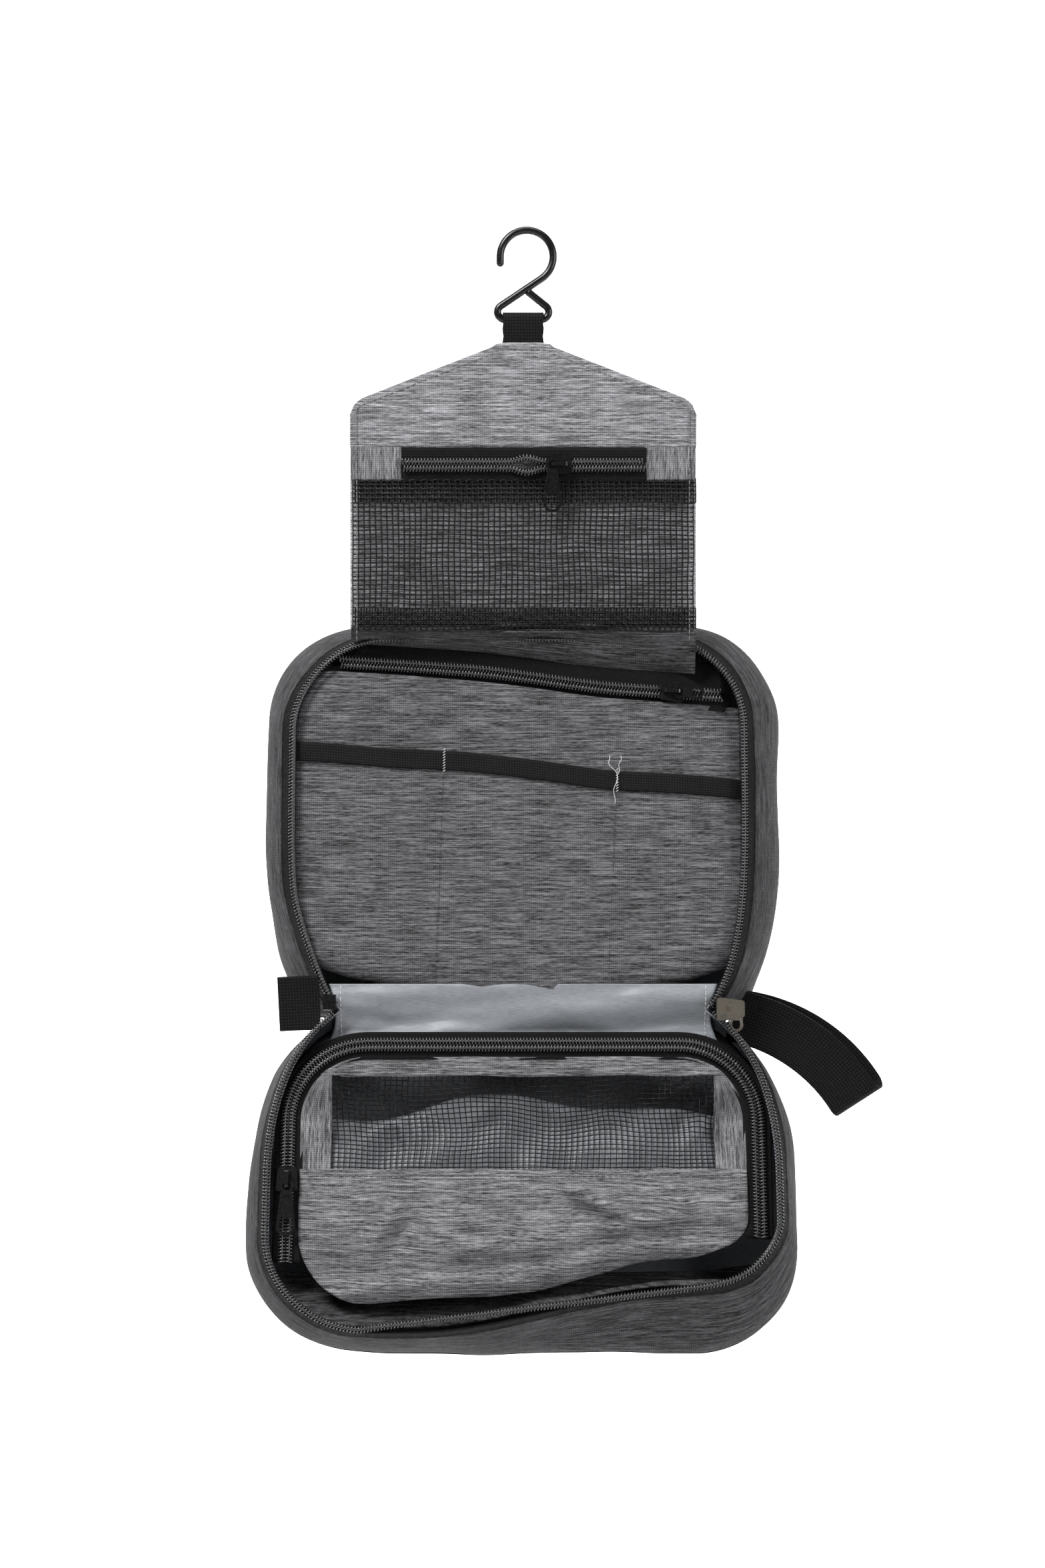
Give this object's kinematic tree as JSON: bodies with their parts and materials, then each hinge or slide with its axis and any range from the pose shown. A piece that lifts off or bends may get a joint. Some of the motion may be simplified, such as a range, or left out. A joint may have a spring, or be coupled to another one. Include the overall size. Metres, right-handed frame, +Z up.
{
  "type": "hanging toiletry bag",
  "caption": "Fold-out hanging toiletry bag: swivel hook on a zipped mesh flap, an upper half with slip pockets and a lower half with a zipped mesh lid.",
  "frame": {"origin": "the point inside the hook's ring that rests on a rail", "axes": "+Z up, -Y towards the opened front, +X to the right"},
  "size_m": [0.2923, 0.1178, 0.5228],
  "materials": {
    "grey_heather": "heather twill polyester, matt",
    "grey_satin": "smooth satin lining",
    "black_webbing": "woven webbing and tape",
    "black_mesh": "open square mesh",
    "black_coil": "nylon coil",
    "black_plastic": "moulded, semi-gloss",
    "nickel_metal": "antique nickel plate"
  },
  "bodies": {
    "hook": {"hook": "black_plastic"},
    "flap": {"hook_loop": "black_webbing", "flap_back_panel": "grey_heather", "flap_top_panel": "grey_heather", "flap_tab_left": "grey_heather", "flap_tab_right": "grey_heather", "flap_zip_tape_upper": "black_webbing", "flap_zip_tape_lower": "black_webbing", "flap_coil_upper": "black_coil", "flap_coil_lower": "black_coil", "flap_mesh": "black_mesh", "flap_hem": "grey_heather"},
    "flap_slider": {"flap_slider_body": "black_plastic", "flap_slider_rear_plate": "black_plastic"},
    "flap_pull": {"flap_pull_tab": "black_plastic"},
    "upper": {"upper_back_panel": "grey_heather", "upper_gusset": "grey_heather", "upper_zip_tape": "black_webbing", "upper_coil": "black_coil", "upper_lining": "grey_satin", "pocket_panel": "grey_heather", "slip_pocket_panel": "grey_heather", "elastic_band": "black_webbing", "pocket_zip_tape_lower": "black_webbing", "pocket_zip_tape_upper": "black_webbing", "pocket_coil_upper": "black_coil", "pocket_coil_lower": "black_coil", "upper_spine_strip": "grey_satin", "main_slider_body": "nickel_metal", "zip_bottom_stop": "black_plastic", "handle_strap": "black_webbing", "side_tab": "black_webbing"},
    "pocket_slider": {"pocket_slider_body": "black_plastic", "pocket_slider_rear_plate": "black_plastic"},
    "pocket_pull": {"pocket_pull_tab": "black_plastic"},
    "main_pull": {"main_pull_tab": "nickel_metal"},
    "lower": {"lower_back_panel": "grey_heather", "lower_gusset": "grey_heather", "lower_zip_tape": "black_webbing", "lower_coil": "black_coil", "lower_lining": "grey_satin", "lower_spine_strip": "grey_satin", "lid_zip_tape_outer": "black_webbing", "lid_coil_outer": "black_coil"},
    "lid": {"lid_frame": "grey_heather", "lid_panel": "grey_heather", "lid_mesh": "black_mesh", "lid_zip_tape_inner": "black_webbing", "lid_coil_inner": "black_coil"},
    "lid_slider": {"lid_slider_body": "black_plastic", "lid_slider_rear_plate": "black_plastic"},
    "lid_pull": {"lid_pull_tab": "black_plastic"}
  },
  "joints": [
    {"name": "hook_swivel", "type": "hinge", "parent": "hook", "child": "flap", "pos_m": [0, 0, -0.04], "axis": [1, 0, 0], "range_deg": [-120, 120]},
    {"name": "flap_fold", "type": "hinge", "parent": "flap", "child": "upper", "pos_m": [0, -0.0036, -0.1975], "axis": [-1, 0, 0], "range_deg": [0, 160]},
    {"name": "bag_fold", "type": "hinge", "parent": "upper", "child": "lower", "pos_m": [0, -0.02161, -0.36155], "axis": [1, 0, 0], "range_deg": [-160, 0]},
    {"name": "lid_fold", "type": "hinge", "parent": "lower", "child": "lid", "pos_m": [0, -0.05188, -0.4919], "axis": [1, 0, 0], "range_deg": [0, 100]},
    {"name": "flap_zip_slide", "type": "slide", "parent": "flap", "child": "flap_slider", "axis": [1, 0, 0], "range_m": [-0.062, 0.032], "deforming": ["flap_coil_upper", "flap_coil_lower"]},
    {"name": "flap_pull_swing", "type": "hinge", "parent": "flap_slider", "child": "flap_pull", "pos_m": [0.0137, -0.0089, -0.1087], "axis": [0, 1, 0], "range_deg": [-50, 95]},
    {"name": "pocket_zip_slide", "type": "slide", "parent": "upper", "child": "pocket_slider", "axis": [0.9978, -0.0092, -0.0656], "range_m": [-0.143, 0]},
    {"name": "pocket_pull_swing", "type": "hinge", "parent": "pocket_slider", "child": "pocket_pull", "pos_m": [0.07329, 0.00202, -0.21428], "axis": [0, 0.9903, -0.1392], "range_deg": [-5, 125]},
    {"name": "lid_zip_slide", "type": "slide", "parent": "lower", "child": "lid_slider", "axis": [0, -0.2924, -0.9563], "range_m": [-0.02, 0.012]},
    {"name": "lid_pull_swing", "type": "hinge", "parent": "lid_slider", "child": "lid_pull", "pos_m": [-0.10745, -0.04121, -0.44026], "axis": [0, 0.9563, -0.2924], "range_deg": [-60, 8]},
    {"name": "main_pull_swing", "type": "hinge", "parent": "upper", "child": "main_pull", "pos_m": [0.0986, -0.01734, -0.36064], "axis": [0, 1, 0], "range_deg": [-60, 0]}
  ]
}
